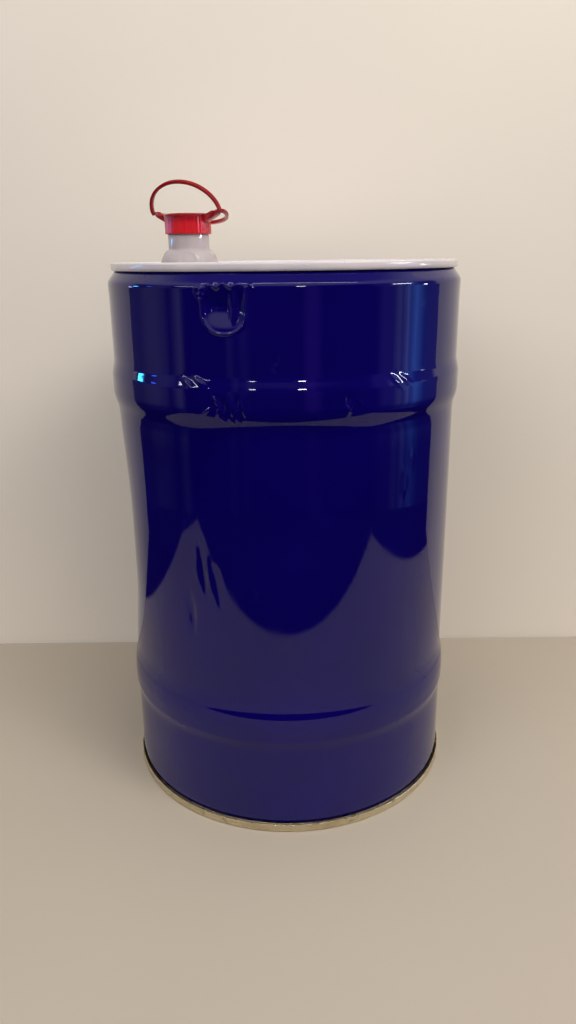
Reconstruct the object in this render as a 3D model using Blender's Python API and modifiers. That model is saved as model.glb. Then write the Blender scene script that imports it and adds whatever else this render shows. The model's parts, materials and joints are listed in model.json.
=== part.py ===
"""A tight-head steel drum of about 28 litres with a pull-out pouring spout.

The drum stands on Z = 0 and its own axis is Z. The front, where the spout sits, faces -Y.
The body, both ends and their double seams are turned sheet metal. The spout is a plastic
moulding clamped on the top end by a metal ring, with a screw cap that carries two bails.
"""

import math

import bmesh
import bpy
from mathutils import Matrix

# Sheet metal
SHEET = 0.0005
GAP = 0.0003
FACETS = 36

# Drum: heights above the floor and radii of the sheet's middle
HEIGHT = 0.447
SEAM_HEIGHT = 0.0066
TOP_SEAM_R = 0.1395
BASE_SEAM_R = 0.1444
UPPER_R = 0.1423
SHOULDER_R = 0.1428
MIDDLE_R = 0.1411
LOWER_R = 0.1422
UPPER_HOOP_R = 0.1444
LOWER_HOOP_R = 0.1441
UPPER_HOOP_Z = 0.354
LOWER_HOOP_Z = 0.0945
HOOP_FLAT = 0.0085
HOOP_SLOPE = 0.0095
COUNTERSINK = 0.017
BASE_RECESS = 0.009
NECK_FLARE = 0.0010
SHOULDER_DROP = 0.008
FOOT_RISE = 0.0035

# Beads and groove pressed into the ends: middle radius, half of the flat, slope, height
TOP_BEAD_R = 0.0485
BASE_BEAD_R = 0.067
BEAD_FLAT = 0.0015
BASE_BEAD_FLAT = 0.003
BEAD_SLOPE = 0.003
BEAD_HEIGHT = 0.0012
GROOVE_R = 0.1295
GROOVE_FLAT = 0.002
GROOVE_SLOPE = 0.002
GROOVE_DEPTH = 0.0022
BASE_PANEL_R = 0.1380

# Spout: place on the top end, and heights above the drum's top edge
SPOUT_RADIUS = 0.095
SPOUT_ANGLE = math.radians(222.5)
BAIL_ANGLE = math.radians(-30)
OPENING_R = 0.028
NECK_HEIGHT = 0.0035
LIP_WIDTH = 0.0025
NOZZLE_R = 0.0151
NOZZLE_WALL = 0.0012
NOZZLE_FOOT = 0.0103
THREAD_ROOT_R = 0.0141
THREAD_LEAD = 0.0045
THREAD_TURNS = 1.2
THREAD_BEAD = 0.0008
CAP_R = 0.0169
CAP_WALL = 0.0013
CAP_BOTTOM = 0.0199
CAP_TOP = 0.0338
CAP_ROOF = 0.0018
CAP_RIBS = 36
LINER = 0.0012
LUG_REACH = 0.0272
LUG_WIDTH = 0.0072
LUG_DEPTH = 0.0062
HINGE_RISE = 0.0012
HINGE_OFFSET = 0.002
BAIL_HALF_SPAN = 0.0299
BAIL_REACH = 0.0223
BAIL_STRAP = 0.0013
RAISED_TILT = math.radians(118)
FOLDED_TILT = math.radians(-17)

PANEL_Z = HEIGHT - COUNTERSINK
HINGE_Z = HEIGHT + CAP_TOP + HINGE_RISE
SPOUT_X = SPOUT_RADIUS * math.cos(SPOUT_ANGLE)
SPOUT_Y = SPOUT_RADIUS * math.sin(SPOUT_ANGLE)


def clear_scene():
    for obj in list(bpy.data.objects):
        bpy.data.objects.remove(obj, do_unlink=True)


def collection(name):
    made = bpy.data.collections.new(name)
    bpy.context.scene.collection.children.link(made)
    return made


def material(name, colour, roughness, metallic=0.0):
    made = bpy.data.materials.new(name)
    made.use_nodes = True
    shader = made.node_tree.nodes["Principled BSDF"]
    shader.inputs["Base Color"].default_value = (*colour, 1)
    shader.inputs["Roughness"].default_value = roughness
    shader.inputs["Metallic"].default_value = metallic
    return made


def add_object(name, mesh, home, paint=None, parent=None):
    obj = bpy.data.objects.new(name, mesh)
    home.objects.link(obj)
    obj.parent = parent
    if paint:
        mesh.materials.append(paint)
    return obj


def hide_cutter(obj):
    obj.hide_render = True
    obj.display_type = "WIRE"


def outline_mesh(name, points, closed):
    """A mesh of edges along (radius, height) points in the XZ plane."""
    count = len(points)
    edges = [(i, i + 1) for i in range(count - 1)]
    if closed:
        edges.append((count - 1, 0))
    mesh = bpy.data.meshes.new(name)
    mesh.from_pydata([(r, 0, z) for r, z in points], edges, [])
    return mesh


def add_screw(obj, steps):
    screw = obj.modifiers.new("Turn", "SCREW")
    screw.axis = "Z"
    screw.steps = steps
    screw.render_steps = steps
    screw.use_merge_vertices = True
    screw.merge_threshold = 0.00001
    return screw


def turned_solid(name, points, home, paint=None, parent=None, steps=FACETS, closed=True):
    """A solid turned about Z from its section, which runs down its outer side."""
    obj = add_object(name, outline_mesh(name, points, closed), home, paint, parent)
    add_screw(obj, steps)
    return obj


def turned_sheet(name, points, thickness, home, paint, parent=None, steps=FACETS):
    """Sheet turned about Z from the middle line of its section."""
    obj = turned_solid(name, points, home, paint, parent, steps, closed=False)
    shell = obj.modifiers.new("Sheet", "SOLIDIFY")
    shell.thickness = thickness
    shell.offset = 0
    shell.use_even_offset = True
    return obj


def add_boolean(obj, operation, other):
    cut = obj.modifiers.new(operation.title(), "BOOLEAN")
    cut.operation = operation
    cut.solver = "EXACT"
    cut.object = other
    hide_cutter(other)


def smooth(obj, angle=35):
    """Round pieces are shaded smooth, with edges sharper than the angle left sharp."""
    obj.data.shade_smooth()
    if obj.data.polygons:
        obj.data.set_sharp_from_angle(angle=math.radians(angle))


def hoop(middle_z, hoop_r, above_r, below_r):
    """A rolled hoop's section from top to bottom: slope, flat crest, slope."""
    return [
        (above_r, middle_z + HOOP_FLAT + HOOP_SLOPE),
        (hoop_r, middle_z + HOOP_FLAT),
        (hoop_r, middle_z - HOOP_FLAT),
        (below_r, middle_z - HOOP_FLAT - HOOP_SLOPE),
    ]


def seam_layer(seam_r, layer):
    """Middle radius of a seam's sheet layer, counted inwards from the outermost, 0."""
    return seam_r - SHEET / 2 - layer * (SHEET + GAP)


def body_bend_z(edge_z, inward):
    """Height of the body hook's bend; inward is -1 at the top seam and 1 at the base seam."""
    return edge_z + inward * 3.75 * SHEET


def body_hook(seam_r, edge_z, inward):
    """The body's hook in a double seam, from the drum's edge side to the wall."""
    bend = body_bend_z(edge_z, inward)
    end = edge_z + inward * (SEAM_HEIGHT - 3 * SHEET)
    return [
        (seam_layer(seam_r, 1), end),
        (seam_layer(seam_r, 1), bend),
        (seam_layer(seam_r, 3), bend),
    ]


def cover_hook(seam_r, edge_z, inward):
    """An end's wall, seaming panel and hook in a double seam, from the inside out."""
    panel = edge_z + inward * SHEET / 2
    bend = edge_z + inward * (SEAM_HEIGHT - SHEET / 2)
    end = body_bend_z(edge_z, inward) + inward * 1.7 * SHEET
    return [
        (seam_layer(seam_r, 4), panel),
        (seam_layer(seam_r, 0), panel),
        (seam_layer(seam_r, 0), bend),
        (seam_layer(seam_r, 2), bend),
        (seam_layer(seam_r, 2), end),
    ]


def shoulder():
    """From the neck under the top seam out to the shoulder and down to the upper wall."""
    neck_r = seam_layer(TOP_SEAM_R, 3)
    neck_z = HEIGHT - SEAM_HEIGHT
    shoulder_z = neck_z - SHOULDER_DROP
    return [
        (neck_r, neck_z - GAP),
        (neck_r + NECK_FLARE, neck_z - 0.22 * SHOULDER_DROP),
        (SHOULDER_R - 0.8 * NECK_FLARE, shoulder_z + NECK_FLARE),
        (SHOULDER_R, shoulder_z - 0.25 * SHOULDER_DROP),
        (UPPER_R, shoulder_z - 1.25 * SHOULDER_DROP),
    ]


def body_shell(home, paint):
    foot_r = seam_layer(BASE_SEAM_R, 3)
    points = body_hook(TOP_SEAM_R, HEIGHT, -1)
    points += shoulder()
    points += hoop(UPPER_HOOP_Z, UPPER_HOOP_R, UPPER_R, MIDDLE_R)
    points += hoop(LOWER_HOOP_Z, LOWER_HOOP_R, MIDDLE_R, LOWER_R)
    points += [(LOWER_R, SEAM_HEIGHT + FOOT_RISE), (foot_r, SEAM_HEIGHT + GAP)]
    points += reversed(body_hook(BASE_SEAM_R, 0, 1))
    return turned_sheet("body_shell", points, SHEET, home, paint)


def pressing(middle_r, flat, slope, panel, rise):
    """A ring pressed into a flat panel, from the inside out; a negative rise is a groove."""
    return [
        (middle_r - flat - slope, panel),
        (middle_r - flat, panel + rise),
        (middle_r + flat, panel + rise),
        (middle_r + flat + slope, panel),
    ]


def top_end(home, cutters, paint):
    panel = PANEL_Z - SHEET / 2
    wall_r = seam_layer(TOP_SEAM_R, 4)
    points = [(0, panel)]
    points += pressing(TOP_BEAD_R, BEAD_FLAT, BEAD_SLOPE, panel, BEAD_HEIGHT)
    points += pressing(GROOVE_R, GROOVE_FLAT, GROOVE_SLOPE, panel, -GROOVE_DEPTH)
    points += [(wall_r, HEIGHT - SEAM_HEIGHT)]
    points += cover_hook(TOP_SEAM_R, HEIGHT, -1)
    end = turned_sheet("top_end", points, SHEET, home, paint)
    cut_opening(end, panel, cutters)
    return end


def cut_opening(end, panel, cutters):
    """Joins the spout's neck and lip to the top end and cuts the opening through them."""
    neck_top = PANEL_Z + NECK_HEIGHT
    clear = 0.01
    neck_points = [
        (0, neck_top),
        (OPENING_R + SHEET + LIP_WIDTH, neck_top),
        (OPENING_R + SHEET + LIP_WIDTH, neck_top - SHEET),
        (OPENING_R + SHEET, neck_top - SHEET),
        (OPENING_R + SHEET, panel),
        (0, panel),
    ]
    neck = turned_solid("neck_and_lip", neck_points, cutters, closed=False)
    hole_points = [
        (0, neck_top + clear),
        (OPENING_R, neck_top + clear),
        (OPENING_R, panel - clear),
        (0, panel - clear),
    ]
    hole = turned_solid("opening", hole_points, cutters, closed=False)
    for tool in (neck, hole):
        tool.location = (SPOUT_X, SPOUT_Y, 0)
    add_boolean(end, "UNION", neck)
    add_boolean(end, "DIFFERENCE", hole)


def bottom_end(home, paint):
    panel = BASE_RECESS
    points = [(0, panel)]
    points += pressing(BASE_BEAD_R, BASE_BEAD_FLAT, BEAD_SLOPE, panel, BEAD_HEIGHT)
    points += [(BASE_PANEL_R, panel), (seam_layer(BASE_SEAM_R, 4), SEAM_HEIGHT)]
    points += cover_hook(BASE_SEAM_R, 0, 1)
    return turned_sheet("bottom_end", points, SHEET, home, paint)


def seam_compound(name, seam_r, edge_z, inward, home, paint):
    """The sealing bead that lies between an end's seaming panel and the body's hook."""
    near = edge_z + inward * (SHEET + GAP)
    far = near + inward * SHEET
    top, bottom = max(near, far), min(near, far)
    outer = seam_layer(seam_r, 1) - GAP
    inner = seam_layer(seam_r, 3) + GAP
    points = [(inner, top), (outer, top), (outer, bottom), (inner, bottom)]
    return turned_solid(name, points, home, paint)


def crimp_ring(home, paint, spout):
    """The metal ring that clamps the spout's flange on the opening's lip."""
    lip_r = OPENING_R + SHEET + LIP_WIDTH
    wall_r = lip_r + 2 * GAP + 1.5 * SHEET
    low = PANEL_Z + NECK_HEIGHT - SHEET - GAP - SHEET / 2
    high = PANEL_Z + NECK_HEIGHT + 0.0024 + SHEET / 2
    points = [
        (OPENING_R + 0.0015, high),
        (wall_r - SHEET, high),
        (wall_r, high - SHEET),
        (wall_r, low),
        (OPENING_R + 0.0012, low),
    ]
    return turned_sheet("spout_crimp_ring", points, SHEET, home, paint, spout)


def spout_flange(home, paint, spout):
    """The moulding's flange: it rests on the lip, wraps its edge and lines the opening."""
    lip_r = OPENING_R + SHEET + LIP_WIDTH
    lip_z = PANEL_Z + NECK_HEIGHT
    top = lip_z + 0.0021
    plug_r = OPENING_R - 0.0004
    points = [
        (plug_r - 0.0020, top),
        (lip_r + GAP + SHEET, top),
        (lip_r + GAP + SHEET, lip_z - SHEET),
        (lip_r + GAP, lip_z - SHEET),
        (lip_r + GAP, lip_z + GAP),
        (plug_r, lip_z + GAP),
        (plug_r, PANEL_Z - 0.0015),
        (plug_r - 0.0012, PANEL_Z - 0.0015),
        (plug_r - 0.0020, lip_z + GAP),
    ]
    return turned_solid("spout_flange", points, home, paint, spout)


def bellows_radius(share):
    """Outer radius of the folding wall, from its foot (0) to the nozzle (1)."""
    belly = 0.0212
    foot = 0.0247
    if share < 0.5:
        return foot + (belly - foot) * math.sin(math.pi * share)
    return NOZZLE_R + (belly - NOZZLE_R) * math.cos(math.pi * (share - 0.5)) ** 0.6


def spout_bellows(home, paint, spout):
    """The folding wall between flange and nozzle, with a short straight neck at its top."""
    wall = 0.0010
    foot_z = PANEL_Z + NECK_HEIGHT + 0.0006
    neck_z = HEIGHT + NOZZLE_FOOT - 0.0012
    rings = 8
    points = [(NOZZLE_R - wall / 2, HEIGHT + NOZZLE_FOOT - GAP)]
    for i in range(rings):
        share = 1 - i / (rings - 1)
        radius = bellows_radius(share) - wall / 2
        points.append((radius, foot_z + (neck_z - foot_z) * share))
    return turned_sheet("spout_bellows", points, wall, home, paint, spout)


def thread_bead(name, radius, start_z, cutters, spout):
    """A screw thread as a round bead along a helix, made a mesh so that it can be joined."""
    per_turn = 24
    count = int(THREAD_TURNS * per_turn) + 1
    curve = bpy.data.curves.new(name, "CURVE")
    curve.dimensions = "3D"
    curve.bevel_depth = THREAD_BEAD
    curve.bevel_resolution = 1
    curve.use_fill_caps = True
    line = curve.splines.new("POLY")
    line.points.add(count - 1)
    for i, point in enumerate(line.points):
        turn = i / per_turn
        angle = 2 * math.pi * turn
        height = start_z + THREAD_LEAD * turn
        point.co = (radius * math.cos(angle), radius * math.sin(angle), height, 1)
    return curve_to_mesh(name, curve, cutters, spout)


def curve_to_mesh(name, curve, home, parent):
    guide = bpy.data.objects.new(name + "_curve", curve)
    home.objects.link(guide)
    bpy.context.view_layer.update()
    graph = bpy.context.evaluated_depsgraph_get()
    mesh = bpy.data.meshes.new_from_object(guide.evaluated_get(graph))
    build = bmesh.new()
    build.from_mesh(mesh)
    bmesh.ops.remove_doubles(build, verts=build.verts, dist=0.000005)
    bmesh.ops.recalc_face_normals(build, faces=build.faces)
    build.to_mesh(mesh)
    build.free()
    bpy.data.objects.remove(guide)
    return add_object(name, mesh, home, parent=parent)


def thread_start():
    return HEIGHT + CAP_BOTTOM + THREAD_LEAD / 2 + 2 * THREAD_BEAD


def spout_nozzle(home, cutters, paint, spout):
    foot = HEIGHT + NOZZLE_FOOT
    step = HEIGHT + CAP_BOTTOM + 0.0006
    top = HEIGHT + CAP_TOP - CAP_ROOF - LINER - 2 * GAP
    bore = NOZZLE_R - NOZZLE_WALL
    throat = THREAD_ROOT_R - NOZZLE_WALL
    points = [
        (throat, top),
        (THREAD_ROOT_R, top),
        (THREAD_ROOT_R, step),
        (NOZZLE_R, step - 0.0012),
        (NOZZLE_R, foot),
        (bore, foot),
        (bore, step - 0.0012),
        (throat, step),
    ]
    nozzle = turned_solid("spout_nozzle", points, home, paint, spout)
    bead_r = THREAD_ROOT_R + 0.0001
    bead = thread_bead("nozzle_thread", bead_r, thread_start(), cutters, spout)
    add_boolean(nozzle, "UNION", bead)
    return nozzle


def tear_out_seal(home, cutters, paint, spout):
    """The membrane across the nozzle with the ring that tears it out."""
    disc_z = HEIGHT + CAP_BOTTOM + 0.0044
    disc_r = THREAD_ROOT_R - NOZZLE_WALL - GAP
    ring_r = 0.0076
    ring_z = disc_z + 0.0048
    disc_points = [(0, disc_z), (disc_r, disc_z), (disc_r, disc_z - 0.0008), (0, disc_z - 0.0008)]
    seal = turned_solid("tear_out_seal", disc_points, home, paint, spout, closed=False)
    bpy.ops.mesh.primitive_torus_add(
        major_radius=ring_r,
        minor_radius=0.0011,
        major_segments=24,
        minor_segments=8,
        location=(0, 0, 0),
    )
    ring = bpy.context.object
    ring.name = "pull_ring"
    for other in list(ring.users_collection):
        other.objects.unlink(ring)
    cutters.objects.link(ring)
    ring.parent = spout
    ring.location = (0, 0, ring_z)
    post_points = [
        (0, ring_z),
        (0.0009, ring_z),
        (0.0009, disc_z - 0.0004),
        (0, disc_z - 0.0004),
    ]
    post = turned_solid("pull_ring_post", post_points, cutters, parent=spout, steps=8, closed=False)
    post.location = (ring_r, 0, 0)
    add_boolean(seal, "UNION", ring)
    add_boolean(seal, "UNION", post)
    return seal


def flat_outline(name, points, depth, home, parent):
    """A flat outline in XY, extruded along Z by the depth about its middle."""
    curve = bpy.data.curves.new(name, "CURVE")
    curve.dimensions = "2D"
    curve.fill_mode = "BOTH"
    curve.extrude = depth / 2
    line = curve.splines.new("POLY")
    line.points.add(len(points) - 1)
    for point, (x, y) in zip(line.points, points):
        point.co = (x, y, 0, 1)
    line.use_cyclic_u = True
    return curve_to_mesh(name, curve, home, parent)


def ribbed_outline(radius, ribs, depth):
    """A round outline with straight ribs: four points to a rib, crest and root."""
    points = []
    for i in range(4 * ribs):
        reach = radius if i % 4 < 2 else radius - depth
        angle = 2 * math.pi * i / (4 * ribs)
        points.append((reach * math.cos(angle), reach * math.sin(angle)))
    return points


def cap_lugs(cutters, spout):
    """Both hinge lugs in one bar: deep at the cap and thin at the hinges."""
    cap_top = HEIGHT + CAP_TOP
    half = [
        (0, cap_top - 0.0002),
        (CAP_R + 0.002, cap_top - 0.0002),
        (LUG_REACH, HINGE_Z + BAIL_STRAP),
        (LUG_REACH, HINGE_Z - BAIL_STRAP),
        (CAP_R - 0.0005, cap_top - LUG_DEPTH),
        (0, cap_top - LUG_DEPTH),
    ]
    left = [(-x, z) for x, z in reversed(half[1:-1])]
    bar = flat_outline("hinge_lugs", half + left, LUG_WIDTH, cutters, spout)
    upright = Matrix.Rotation(math.radians(90), 4, "X")
    bar.data.transform(upright)
    return bar


def cap(home, cutters, paint, spout):
    bottom = HEIGHT + CAP_BOTTOM
    top = HEIGHT + CAP_TOP
    skirt_depth = top - bottom - 0.0010
    ribs = ribbed_outline(CAP_R, CAP_RIBS, 0.0004)
    body = flat_outline("cap", ribs, skirt_depth, home, spout)
    body.data.transform(Matrix.Translation((0, 0, bottom + skirt_depth / 2)))
    body.data.materials.append(paint)
    roof_points = [
        (0, top + 0.0004),
        (0.010, top + 0.0002),
        (CAP_R - 0.0004, top),
        (CAP_R + 0.0006, top - 0.0007),
        (CAP_R + 0.0006, top - 0.0015),
        (0, top - 0.0015),
    ]
    roof = turned_solid("cap_roof", roof_points, cutters, parent=spout, closed=False)
    hollow_r = CAP_R - CAP_WALL
    hollow_points = [
        (0, top - CAP_ROOF),
        (hollow_r, top - CAP_ROOF),
        (hollow_r, bottom - 0.005),
        (0, bottom - 0.005),
    ]
    hollow = turned_solid("cap_hollow", hollow_points, cutters, parent=spout, closed=False)
    bead_r = hollow_r - 0.0001
    bead_z = thread_start() - THREAD_LEAD / 2
    bead = thread_bead("cap_thread", bead_r, bead_z, cutters, spout)
    add_boolean(body, "UNION", cap_lugs(cutters, spout))
    add_boolean(body, "UNION", roof)
    add_boolean(body, "DIFFERENCE", hollow)
    add_boolean(body, "UNION", bead)
    return body


def cap_liner(home, paint, spout):
    top = HEIGHT + CAP_TOP - CAP_ROOF - GAP
    radius = CAP_R - CAP_WALL - GAP
    points = [(0, top), (radius, top), (radius, top - LINER), (0, top - LINER)]
    return turned_solid("cap_liner", points, home, paint, spout, closed=False)


def bail_curve():
    """Half an ellipse in XY from one hinge to the other, with straight feet inwards."""
    curve = bpy.data.curves.new("bail", "CURVE")
    curve.dimensions = "3D"
    curve.bevel_depth = BAIL_STRAP
    curve.bevel_resolution = 1
    curve.use_fill_caps = True
    stations = 25
    foot_end = LUG_REACH + GAP + 0.00005
    points = [(foot_end, 0)]
    for i in range(stations):
        angle = math.pi * i / (stations - 1)
        points.append((BAIL_HALF_SPAN * math.cos(angle), BAIL_REACH * math.sin(angle)))
    points.append((-foot_end, 0))
    line = curve.splines.new("POLY")
    line.points.add(len(points) - 1)
    for point, (x, y) in zip(line.points, points):
        point.co = (x, y, 0, 1)
    return curve


def bail(name, offset, tilt, home, paint, spout):
    """A bail turns about its hinge line, which its feet lie on."""
    handle = curve_to_mesh(name, bail_curve(), home, spout)
    handle.data.materials.append(paint)
    handle.location = (0, offset, HINGE_Z)
    handle.rotation_euler = (tilt, 0, 0)
    return handle


def build():
    clear_scene()
    drum = collection("steel_drum")
    cutters = collection("cutters")
    blue = material("blue_lacquer", (0.012, 0.008, 0.19), 0.12)
    white = material("white_lacquer", (0.78, 0.76, 0.78), 0.25)
    tinplate = material("tinplate", (0.62, 0.57, 0.46), 0.3, 1.0)
    compound = material("seam_compound", (0.12, 0.11, 0.1), 0.6)
    milky = material("milky_polyethylene", (0.72, 0.7, 0.72), 0.3)
    red = material("red_plastic", (0.6, 0.01, 0.02), 0.25)
    foam = material("liner_foam", (0.85, 0.85, 0.82), 0.7)

    spout = bpy.data.objects.new("spout_axis", None)
    drum.objects.link(spout)
    spout.location = (SPOUT_X, SPOUT_Y, 0)
    spout.rotation_euler = (0, 0, BAIL_ANGLE)

    body_shell(drum, blue)
    top_end(drum, cutters, white)
    bottom_end(drum, tinplate)
    seam_compound("top_seam_compound", TOP_SEAM_R, HEIGHT, -1, drum, compound)
    seam_compound("bottom_seam_compound", BASE_SEAM_R, 0, 1, drum, compound)
    crimp_ring(drum, white, spout)
    spout_flange(drum, milky, spout)
    spout_bellows(drum, milky, spout)
    spout_nozzle(drum, cutters, milky, spout)
    tear_out_seal(drum, cutters, milky, spout)
    cap(drum, cutters, red, spout)
    cap_liner(drum, foam, spout)
    bail("bail_front", -HINGE_OFFSET, RAISED_TILT, drum, red, spout)
    bail("bail_back", HINGE_OFFSET, FOLDED_TILT, drum, red, spout)
    for obj in drum.objects:
        if obj.type == "MESH":
            smooth(obj)


build()
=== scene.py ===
"""Looks of the lacquered steel drum with its pull-out spout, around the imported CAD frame.

Lengths are metres in the row frame: Z up, the front faces -Y. Azimuths are degrees round the
drum's axis from the front, positive to the right.
"""

import json
import math

import bmesh
import bpy
import numpy as np
from mathutils import Matrix, Vector

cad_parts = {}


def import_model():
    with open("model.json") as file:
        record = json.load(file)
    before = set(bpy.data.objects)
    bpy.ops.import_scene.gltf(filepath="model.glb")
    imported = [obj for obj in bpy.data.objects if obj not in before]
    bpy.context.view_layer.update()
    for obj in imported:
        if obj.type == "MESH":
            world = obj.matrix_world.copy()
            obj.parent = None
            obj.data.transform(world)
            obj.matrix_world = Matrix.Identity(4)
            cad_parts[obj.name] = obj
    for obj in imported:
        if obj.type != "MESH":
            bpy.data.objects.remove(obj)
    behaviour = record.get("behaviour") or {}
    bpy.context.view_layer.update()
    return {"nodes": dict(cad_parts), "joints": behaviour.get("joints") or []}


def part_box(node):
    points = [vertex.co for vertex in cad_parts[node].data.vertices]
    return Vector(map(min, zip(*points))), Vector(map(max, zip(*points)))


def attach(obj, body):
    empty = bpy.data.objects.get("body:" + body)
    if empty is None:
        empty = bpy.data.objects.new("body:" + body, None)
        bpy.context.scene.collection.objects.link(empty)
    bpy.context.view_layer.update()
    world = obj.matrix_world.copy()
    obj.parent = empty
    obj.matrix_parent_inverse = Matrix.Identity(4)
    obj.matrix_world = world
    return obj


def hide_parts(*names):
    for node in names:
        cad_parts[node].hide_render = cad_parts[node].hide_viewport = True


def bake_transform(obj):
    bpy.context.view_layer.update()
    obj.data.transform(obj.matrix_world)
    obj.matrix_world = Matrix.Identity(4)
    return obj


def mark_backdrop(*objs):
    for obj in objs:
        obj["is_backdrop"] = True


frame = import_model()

MM = 0.001

# Places taken from the frame
JOINTS = {joint["name"]: joint for joint in frame["joints"]}
TOP_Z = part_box("top_end")[1].z
PANEL_Z = TOP_Z - 17.0 * MM
SPOUT = SPOUT_X, SPOUT_Y = tuple(JOINTS["cap_turn"]["pos_m"][:2])
NOZZLE_LOW, NOZZLE_HIGH = (corner.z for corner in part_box("spout_nozzle"))
CAP_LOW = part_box("cap")[0].z
CAP_HIGH = TOP_Z + 33.8 * MM
LINER_LOW, LINER_HIGH = (corner.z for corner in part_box("cap_liner"))
HINGE_AXIS = Vector(JOINTS["front_bail_fold"]["axis"]).normalized()

# Sheet metal
SHEET = 0.5 * MM
TOP_SEAM_R = 139.5 * MM
BASE_SEAM_R = 144.4 * MM
CHUCK_WALL_R = 136.05 * MM
PANEL_R = 124.6 * MM
BASE_WALL_R = 140.95 * MM
BASE_RECESS = 9.0 * MM

# Spout
OPENING_R = 28.0 * MM
NECK_HEIGHT = 3.5 * MM
CRIMPS = 24
THREAD_ROOT_R = 14.1 * MM
THREAD_LEAD = 4.5 * MM
THREAD_BEAD = 0.8 * MM
THREAD_TURNS = 1.2
THREAD_START = CAP_LOW + THREAD_LEAD / 2 + 2 * THREAD_BEAD
CAP_R = 16.9 * MM
CAP_RIBS = 36
CAP_BORE_R = 15.6 * MM
LUG_REACH = 27.2 * MM
LUG_WIDTH = 7.2 * MM
BAIL_HALF_SPAN = 29.9 * MM
BAIL_REACH = 22.3 * MM
RAISED_TILT = math.radians(118)
FOLDED_TILT = math.radians(-17)


# ---------------------------------------------------------------- mesh helpers

def smoothstep(value, low, high):
    share = np.clip((value - low) / (high - low), 0, 1)
    return share * share * (3 - 2 * share)


def bell(value, centre, width):
    return np.exp(-(((value - centre) / width) ** 2))


def fillet(points, steps=5):
    """Points (x, z, cut) to a path of (x, z) whose corners are rounded over the cut length."""
    path = []
    last = len(points) - 1
    for i, (x, z, cut) in enumerate(points):
        here = np.array((x, z), float)
        if i in (0, last) or not cut:
            path.append(here)
            continue
        before = np.array(points[i - 1][:2], float) - here
        after = np.array(points[i + 1][:2], float) - here
        start = here + before * min(cut / np.linalg.norm(before), 0.49)
        end = here + after * min(cut / np.linalg.norm(after), 0.49)
        for step in range(steps + 1):
            t = step / steps
            path.append((1 - t) ** 2 * start + 2 * t * (1 - t) * here + t * t * end)
    return np.array(path)


def add_piece(name, verts, faces, material, smooth_angle=None):
    mesh = bpy.data.meshes.new(name)
    mesh.from_pydata([tuple(v) for v in verts], [], faces)
    mesh.update()
    mesh.shade_smooth()
    if smooth_angle:
        mesh.set_sharp_from_angle(angle=math.radians(smooth_angle))
    mesh.materials.append(material)
    obj = bpy.data.objects.new(name, mesh)
    bpy.context.scene.collection.objects.link(obj)
    return obj


def settle(obj, body, slot, *nodes):
    """Puts a finished piece on its body, in place of its CAD nodes. The slot is not used."""
    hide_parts(*nodes)
    if body:
        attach(obj, body)
    return obj


def quads(rows, cols, first=0, flip=False, wrap_rows=False):
    """Faces of a grid whose columns close round. Rows run down the outer side."""
    faces = []
    last = rows if wrap_rows else rows - 1
    for i in range(last):
        low = ((i + 1) % rows) * cols + first
        high = i * cols + first
        for j in range(cols):
            k = (j + 1) % cols
            face = (high + j, low + j, low + k, high + k)
            faces.append(face[::-1] if flip else face)
    return faces


def around(cols):
    """Angles in radians, counter-clockwise from +X."""
    return np.arange(cols) * 2 * math.pi / cols


def turned_grid(path, angles, centre=(0, 0)):
    """Grid of points (rows, cols, 3) from a path of (radius, z)."""
    path = np.asarray(path)
    grid = np.empty((len(path), len(angles), 3))
    grid[..., 0] = centre[0] + path[:, :1] * np.cos(angles)
    grid[..., 1] = centre[1] + path[:, :1] * np.sin(angles)
    grid[..., 2] = path[:, 1:]
    return grid


def loop_solid(name, path, material, centre, cols, change=None):
    """A ring-like solid from a closed section, listed down its outer side."""
    grid = turned_grid(path, around(cols), centre)
    if change:
        grid = change(grid, around(cols))
    rows = len(path)
    return add_piece(name, grid.reshape(-1, 3), quads(rows, cols, wrap_rows=True), material)


def poled_solid(name, path, material, centre, cols, change=None):
    """A solid whose section starts and ends on the axis, top first."""
    angles = around(cols)
    grid = turned_grid(path[1:-1], angles, centre)
    if change:
        grid = change(grid, angles)
    rows = len(path) - 2
    verts = list(grid.reshape(-1, 3))
    faces = quads(rows, cols)
    top, bottom = len(verts), len(verts) + 1
    verts.append((centre[0], centre[1], path[0][1]))
    verts.append((centre[0], centre[1], path[-1][1]))
    for j in range(cols):
        k = (j + 1) % cols
        faces.append((top, j, k))
        faces.append((bottom, (rows - 1) * cols + k, (rows - 1) * cols + j))
    return add_piece(name, verts, faces, material)


def grid_normals(grid):
    along = np.roll(grid, -1, 1) - np.roll(grid, 1, 1)
    down = np.empty_like(grid)
    down[1:-1] = grid[2:] - grid[:-2]
    down[0] = grid[1] - grid[0]
    down[-1] = grid[-1] - grid[-2]
    normal = np.cross(down, along)
    return normal / np.maximum(np.linalg.norm(normal, axis=2, keepdims=True), 1e-12)


def sheet_piece(name, outer, material, thickness=SHEET, pole=False):
    """A closed sheet from the grid of its outer face. With a pole the last row is one point."""
    inner = outer - grid_normals(outer) * thickness
    rows, cols = outer.shape[:2]
    if pole:
        rows -= 1
    size = rows * cols
    verts = list(outer[:rows].reshape(-1, 3)) + list(inner[:rows].reshape(-1, 3))
    faces = quads(rows, cols) + quads(rows, cols, size, flip=True)
    for j in range(cols):
        k = (j + 1) % cols
        faces.append((j, k, size + k, size + j))
    if pole:
        verts.append(outer[-1].mean(0))
        verts.append(outer[-1].mean(0) + (inner[-2] - outer[-2]).mean(0))
    base = (rows - 1) * cols
    for j in range(cols):
        k = (j + 1) % cols
        if pole:
            faces.append((base + j, 2 * size, base + k))
            faces.append((size + base + k, 2 * size + 1, size + base + j))
        else:
            faces.append((base + k, base + j, size + base + j, size + base + k))
    return add_piece(name, verts, faces, material)


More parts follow.
